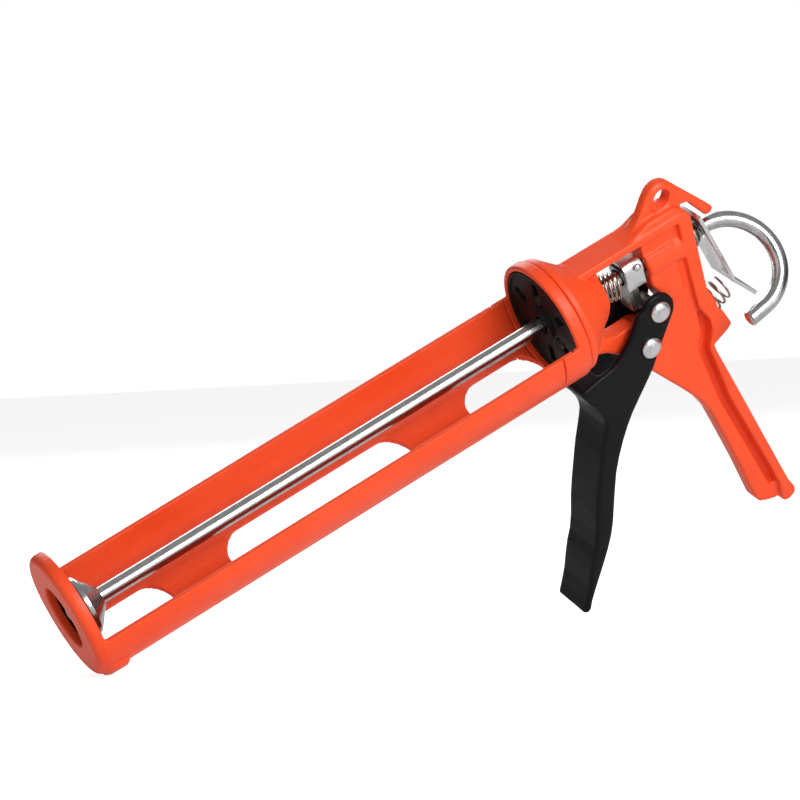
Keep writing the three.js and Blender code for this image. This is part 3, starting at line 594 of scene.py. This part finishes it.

# %% [markdown]
# ## Springs
# A coil spring is a wire that follows a helix, so a Geometry Nodes tree makes it: a spiral curve, a round
# profile swept along it, and a move into place. The same tree makes the drive spring in the window and the
# smaller one behind the spur.

# %% Spring tree
def build_spring_tree():
    tree = bpy.data.node_groups.new("coil spring", "GeometryNodeTree")
    for label in ("Turns", "Start Radius", "End Radius", "Length", "Wire Radius"):
        tree.interface.new_socket(label, in_out="INPUT", socket_type="NodeSocketFloat")
    for label in ("Place", "Turn"):
        tree.interface.new_socket(label, in_out="INPUT", socket_type="NodeSocketVector")
    tree.interface.new_socket("Finish", in_out="INPUT", socket_type="NodeSocketMaterial")
    tree.interface.new_socket("Geometry", in_out="OUTPUT", socket_type="NodeSocketGeometry")
    start, end = add(tree, "NodeGroupInput"), add(tree, "NodeGroupOutput")
    spiral = add(tree, "GeometryNodeCurveSpiral")
    spiral.inputs["Resolution"].default_value = 48
    profile = add(tree, "GeometryNodeCurvePrimitiveCircle")
    profile.inputs["Resolution"].default_value = 14
    wire = add(tree, "GeometryNodeCurveToMesh")
    wire.inputs["Fill Caps"].default_value = True
    move = add(tree, "GeometryNodeTransform")
    real = add(tree, "GeometryNodeRealizeInstances")
    paint = add(tree, "GeometryNodeSetMaterial")
    smooth = add(tree, "GeometryNodeSetShadeSmooth")
    links = tree.links
    links.new(start.outputs["Turns"], spiral.inputs["Rotations"])
    links.new(start.outputs["Start Radius"], spiral.inputs["Start Radius"])
    links.new(start.outputs["End Radius"], spiral.inputs["End Radius"])
    links.new(start.outputs["Length"], spiral.inputs["Height"])
    links.new(start.outputs["Wire Radius"], profile.inputs["Radius"])
    links.new(spiral.outputs["Curve"], wire.inputs["Curve"])
    links.new(profile.outputs["Curve"], wire.inputs["Profile Curve"])
    links.new(wire.outputs["Mesh"], move.inputs["Geometry"])
    links.new(start.outputs["Place"], move.inputs["Translation"])
    links.new(start.outputs["Turn"], move.inputs["Rotation"])
    links.new(move.outputs["Geometry"], smooth.inputs["Geometry"])
    links.new(smooth.outputs["Geometry"], real.inputs["Geometry"])
    links.new(real.outputs["Geometry"], paint.inputs["Geometry"])
    links.new(start.outputs["Finish"], paint.inputs["Material"])
    links.new(paint.outputs["Geometry"], end.inputs["Geometry"])
    return tree


spring_tree = build_spring_tree()


# %% Running a tree
def grow(name, tree, values):
    """Runs a Geometry Nodes tree with named inputs and keeps the mesh it makes."""
    made = bpy.data.objects.new(name, bpy.data.meshes.new(name))
    bpy.context.scene.collection.objects.link(made)
    run = made.modifiers.new("nodes", "NODES")
    run.node_group = tree
    for item in tree.interface.items_tree:
        if item.item_type == "SOCKET" and item.name in values:
            run[item.identifier] = values[item.name]
    return freeze(made)


# %% [markdown]
# The drive spring sits round the rod in the body's window and pushes the grip plates back. Its front end
# stays in the body.

# %% Drive spring
spring_low, spring_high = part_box("drive_spring")
spring_wire = 0.65 * MM
end_room = 1.05 * spring_wire
drive_coil = grow("drive_spring_coil", spring_tree, {
    "Turns": 5.5,
    "Start Radius": 6.0 * MM,
    "End Radius": 6.0 * MM,
    "Wire Radius": spring_wire,
    "Length": spring_high.x - spring_low.x - 2 * end_room,
    "Place": (spring_low.x + end_room, axis_y, axis_z),
    "Turn": (0.4, math.pi / 2, 0),
    "Finish": wire_drawn,
})
hand_over(drive_coil, ["drive_spring"], "body")
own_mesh(drive_coil)

# %% [markdown]
# The release spring stands square on the slope of the spur and holds the release plate off the body. Its
# foot is at the middle of the slope, so the slope's two ends give its place and its lean.

# %% Release spring
SLOPE_TOP = (86.3, -25.0)
SLOPE_END = (94.6, -50.2)
slope_out = SLOPE_END[0] - SLOPE_TOP[0]
slope_down = SLOPE_TOP[1] - SLOPE_END[1]
spur_lean = math.atan2(slope_out, slope_down)
spur_normal = Vector((math.cos(spur_lean), 0, math.sin(spur_lean)))
coil_foot = at(SLOPE_TOP[0] + slope_out * 0.5, 0, SLOPE_TOP[1] - slope_down * 0.5)
release_coil = grow("release_spring_coil", spring_tree, {
    "Turns": 2.6,
    "Start Radius": 6.0 * MM,
    "End Radius": 5.2 * MM,
    "Wire Radius": 0.5 * MM,
    "Length": 8.6 * MM,
    "Place": tuple(coil_foot - spur_normal * 0.3 * MM),
    "Turn": (0, math.pi / 2 - spur_lean, 0),
    "Finish": wire_drawn,
})
hand_over(release_coil, ["release_spring"], "body")
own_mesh(release_coil)

# %% [markdown]
# ## Rivets
# Each rivet is a shank with a domed head pressed at both ends. The four heads are one shape, so the tree
# places a copy of it at each point of a small mesh, turned to look outward.

# %% Rivet head shape
HEAD_R, HEAD_RISE = 5.0, 2.6
HEAD_FLOOR = 0.02
HEAD_RIM = 0.3
DOME_BASE = 0.35
HEAD_SIDES = 48
SHANK_R, SHANK_END = 2.55, -24.9


def turned_mesh(name, profile):
    """A solid of revolution about Z, from (radius, height) pairs in millimetres, axis to axis."""
    work = bmesh.new()
    rings = []
    for radius, height in profile:
        if radius < 1e-6:
            rings.append([work.verts.new((0, 0, height * MM))])
            continue
        angles = [2 * math.pi * k / HEAD_SIDES for k in range(HEAD_SIDES)]
        r, z = radius * MM, height * MM
        rings.append([work.verts.new((r * math.cos(a), r * math.sin(a), z)) for a in angles])
    for low, high in zip(rings, rings[1:]):
        for k in range(HEAD_SIDES):
            n = (k + 1) % HEAD_SIDES
            around = [low[k % len(low)], low[n % len(low)], high[n % len(high)], high[k % len(high)]]
            work.faces.new(list(dict.fromkeys(around)))
    bmesh.ops.recalc_face_normals(work, faces=work.faces)
    mesh = bpy.data.meshes.new(name)
    work.to_mesh(mesh)
    work.free()
    mesh.shade_smooth()
    mesh.set_sharp_from_angle(angle=CUT_EDGE)
    return mesh


head_profile = [(0, SHANK_END), (SHANK_R, SHANK_END), (SHANK_R, HEAD_FLOOR)]
head_profile += [(HEAD_R, HEAD_FLOOR), (HEAD_R, HEAD_RIM)]
for degrees in range(6, 90, 12):
    a = math.radians(degrees)
    head_profile.append((HEAD_R * math.cos(a), DOME_BASE + (HEAD_RISE - DOME_BASE) * math.sin(a)))
head_profile.append((0, HEAD_RISE))
head_mesh = turned_mesh("rivet_head", head_profile)
head_source = bpy.data.objects.new("rivet_head_source", head_mesh)
print("rivet head", len(head_mesh.polygons), "faces")

# %% Setting heads on their pins
def build_scatter_tree():
    """Copies of one object at each point of a mesh, its Z turned along the point's normal."""
    tree = bpy.data.node_groups.new("copies at points", "GeometryNodeTree")
    for label in ("Points", "Shape"):
        tree.interface.new_socket(label, in_out="INPUT", socket_type="NodeSocketObject")
    tree.interface.new_socket("Finish", in_out="INPUT", socket_type="NodeSocketMaterial")
    tree.interface.new_socket("Geometry", in_out="OUTPUT", socket_type="NodeSocketGeometry")
    start, end = add(tree, "NodeGroupInput"), add(tree, "NodeGroupOutput")
    points = add(tree, "GeometryNodeObjectInfo")
    shape = add(tree, "GeometryNodeObjectInfo")
    outward = add(tree, "GeometryNodeInputNamedAttribute", data_type="FLOAT_VECTOR")
    outward.inputs["Name"].default_value = "outward"
    aim = add(tree, "FunctionNodeAlignRotationToVector", axis="Z")
    copies = add(tree, "GeometryNodeInstanceOnPoints")
    real = add(tree, "GeometryNodeRealizeInstances")
    paint = add(tree, "GeometryNodeSetMaterial")
    links = tree.links
    links.new(start.outputs["Points"], points.inputs["Object"])
    links.new(start.outputs["Shape"], shape.inputs["Object"])
    links.new(points.outputs["Geometry"], copies.inputs["Points"])
    links.new(shape.outputs["Geometry"], copies.inputs["Instance"])
    links.new(outward.outputs["Attribute"], aim.inputs["Vector"])
    links.new(aim.outputs["Rotation"], copies.inputs["Rotation"])
    links.new(copies.outputs["Instances"], real.inputs["Geometry"])
    links.new(real.outputs["Geometry"], paint.inputs["Geometry"])
    links.new(start.outputs["Finish"], paint.inputs["Material"])
    links.new(paint.outputs["Geometry"], end.inputs["Geometry"])
    return tree


scatter_tree = build_scatter_tree()


def points_object(name, places):
    """Loose points with the direction in which each copy looks."""
    mesh = bpy.data.meshes.new(name)
    mesh.from_pydata([tuple(p) for p, _ in places], [], [])
    outward = mesh.attributes.new("outward", "FLOAT_VECTOR", "POINT")
    outward.data.foreach_set("vector", [c for _, way in places for c in way])
    return bpy.data.objects.new(name, mesh)


# %% Rivets
CHEEK_FACE = 11.15 * MM  # from the rod's plane to the outside of the trigger's cheek
for node in ("pivot_rivet", "drive_rivet"):
    low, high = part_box(node)
    centre = (low + high) / 2
    ends = [(centre + Vector((0, s * CHEEK_FACE, 0)), (0, s, 0)) for s in (-1, 1)]
    pins = points_object(node + "_points", ends)
    values = {"Points": pins, "Shape": head_source, "Finish": plate_satin}
    rivet = grow(node + "_set", scatter_tree, values)
    hand_over(rivet, [node], "trigger_lever")
    bpy.data.objects.remove(pins)

# %% [markdown]
# ## Camera, floor and light
# The gun is shown from above its left side with a long lens, standing as it does when its nose and the tip
# of its trigger touch a table. The floor is a pale sheet laid through those two points.

# %% Camera
CAMERA_PLACE = (-431.65, -917.06, 765.13)
camera = bpy.data.objects.new("camera", bpy.data.cameras.new("camera"))
bpy.context.scene.collection.objects.link(camera)
camera.data.lens = 135.0
camera.data.sensor_width = 36.0
camera.data.clip_start = 0.01
view_right = Vector((0.8151, -0.5268, -0.2413))
view_up = Vector((0.4986, 0.4256, 0.7551))
view_ahead = Vector((0.2951, 0.7358, -0.6096))
turned = Matrix((view_right, view_up, -view_ahead)).transposed().to_4x4()
camera.matrix_world = Matrix.Translation(at(*CAMERA_PLACE)) @ turned
bpy.context.scene.camera = camera
print("camera at", [round(c, 3) for c in camera.matrix_world.translation])

# %% Floor
floor_up = Vector((0.4437, 0.4256, 0.786)).normalized()
depsgraph = bpy.context.evaluated_depsgraph_get()
lowest = math.inf
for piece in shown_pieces():
    seen = piece.evaluated_get(depsgraph)
    for vertex in seen.data.vertices:
        lowest = min(lowest, floor_up.dot(seen.matrix_world @ vertex.co))
middle = (cad_box[0] + cad_box[1]) / 2
floor_point = middle + floor_up * (lowest - floor_up.dot(middle))
floor_mesh = bpy.data.meshes.new("floor")
REACH = 4.0
across = view_right - floor_up * view_right.dot(floor_up)
across.normalize()
deep = floor_up.cross(across)
corners = []
for u, v in ((-1, -1), (1, -1), (1, 1), (-1, 1)):
    corners.append(tuple(floor_point + across * (REACH * u) + deep * (REACH * v)))
floor_mesh.from_pydata(corners, [], [(0, 1, 2, 3)])
floor = bpy.data.objects.new("floor", floor_mesh)
bpy.context.scene.collection.objects.link(floor)
paper = bpy.data.materials.new("paper_floor")
paper.use_nodes = True
tree = paper.node_tree
tree.nodes.remove(tree.nodes["Principled BSDF"])
soft = add(tree, "ShaderNodeBsdfDiffuse")
soft.inputs["Color"].default_value = (0.8, 0.8, 0.8, 1.0)
glow = add(tree, "ShaderNodeEmission")
looked_at = add(tree, "ShaderNodeLightPath")
glow_level = add(tree, "ShaderNodeMapRange")
glow_level.inputs["To Min"].default_value = 0.16
glow_level.inputs["To Max"].default_value = 0.8
tree.links.new(looked_at.outputs["Is Camera Ray"], glow_level.inputs["Value"])
tree.links.new(glow_level.outputs["Result"], glow.inputs["Strength"])
both = add(tree, "ShaderNodeAddShader")
clear = add(tree, "ShaderNodeBsdfTransparent")
facing = add(tree, "ShaderNodeNewGeometry")
choose = add(tree, "ShaderNodeMixShader")
tree.links.new(soft.outputs["BSDF"], both.inputs[0])
tree.links.new(glow.outputs["Emission"], both.inputs[1])
tree.links.new(facing.outputs["Backfacing"], choose.inputs["Fac"])
tree.links.new(both.outputs[0], choose.inputs[1])
tree.links.new(clear.outputs[0], choose.inputs[2])
tree.links.new(choose.outputs[0], tree.nodes["Material Output"].inputs["Surface"])
floor_mesh.materials.append(paper)
floor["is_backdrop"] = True
print("floor lies", round(lowest, 4), "along its normal")

# %% [markdown]
# Four square lights stand round the gun. The key lights its near side, the fill opens the shadows on the
# left, the rim draws an edge from behind, and the side light reaches the handle from the right.

# %% Softboxes
LIGHT_DISTANCE = 1.5


def softbox(name, across_by, up_by, toward_by, size, power):
    """A square light that looks at the middle of the gun from a direction given in the view's own axes."""
    way = (view_right * across_by + view_up * up_by - view_ahead * toward_by).normalized()
    data = bpy.data.lights.new(name, "AREA")
    data.shape = "SQUARE"
    data.size = size
    data.energy = power
    light = bpy.data.objects.new(name, data)
    light.location = middle + way * LIGHT_DISTANCE
    light.rotation_euler = way.to_track_quat("Z", "Y").to_euler()
    bpy.context.scene.collection.objects.link(light)
    light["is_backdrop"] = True


softbox("key", 0.5, 0.45, 1.0, 0.8, 20.0)
softbox("fill", -0.9, 0.35, 0.8, 1.2, 3.0)
softbox("rim", -0.3, 0.8, -0.9, 0.9, 9.0)
softbox("side", 1.0, 0.0, 0.6, 0.8, 3.0)

# %% [markdown]
# The camera sees a white room. Reflections see bands of light and dark, one above another, which give
# plated metal its streaks, and matt surfaces get only a little light from them.

# %% World
world = bpy.data.worlds.new("studio")
world.use_nodes = True
bpy.context.scene.world = world
tree = world.node_tree
tree.nodes.clear()
out = add(tree, "ShaderNodeOutputWorld")
seen_white = add(tree, "ShaderNodeBackground")
seen_white.inputs["Strength"].default_value = 1.0
seen_white.inputs["Color"].default_value = (1, 1, 1, 1)
around = add(tree, "ShaderNodeBackground")
rays = add(tree, "ShaderNodeLightPath")
pick = add(tree, "ShaderNodeMixShader")
place = add(tree, "ShaderNodeTexCoord")
height = add(tree, "ShaderNodeVectorMath", operation="DOT_PRODUCT")
height.inputs[1].default_value = tuple(floor_up)
level = add(tree, "ShaderNodeMapRange")
level.inputs["From Min"].default_value = -1.0
level.inputs["From Max"].default_value = 1.0
bands = add(tree, "ShaderNodeValToRGB")
stops = bands.color_ramp.elements
stops[0].position, stops[0].color = 0.0, (0.75, 0.75, 0.75, 1)
stops[1].position, stops[1].color = 1.0, (0.95, 0.95, 0.95, 1)
for position, value in ((0.42, 0.6), (0.5, 0.16), (0.6, 0.2), (0.72, 0.8)):
    stop = stops.new(position)
    stop.color = (value, value, value, 1)
tree.links.new(place.outputs["Generated"], height.inputs[0])
tree.links.new(height.outputs["Value"], level.inputs["Value"])
tree.links.new(level.outputs["Result"], bands.inputs["Fac"])
tree.links.new(bands.outputs["Color"], around.inputs["Color"])
dim = add(tree, "ShaderNodeMapRange")
dim.inputs["To Min"].default_value = 0.45
dim.inputs["To Max"].default_value = 0.15
tree.links.new(rays.outputs["Is Diffuse Ray"], dim.inputs["Value"])
tree.links.new(dim.outputs["Result"], around.inputs["Strength"])
tree.links.new(rays.outputs["Is Camera Ray"], pick.inputs["Fac"])
tree.links.new(around.outputs[0], pick.inputs[1])
tree.links.new(seen_white.outputs[0], pick.inputs[2])
tree.links.new(pick.outputs[0], out.inputs["Surface"])
bpy.context.scene.view_settings.view_transform = "Standard"

# %% [markdown]
# ## Sizes
# The real surfaces stay inside the box of the plain solids. Both boxes are printed side by side.

# %% Print the sizes
bpy.data.objects.remove(head_source)
seen_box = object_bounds()
sizes = {"cad": [list(c) for c in cad_box], "visual": [list(c) for c in seen_box]}
for label, box in sizes.items():
    print(label, [[round(c * 1000, 2) for c in corner] for corner in box])
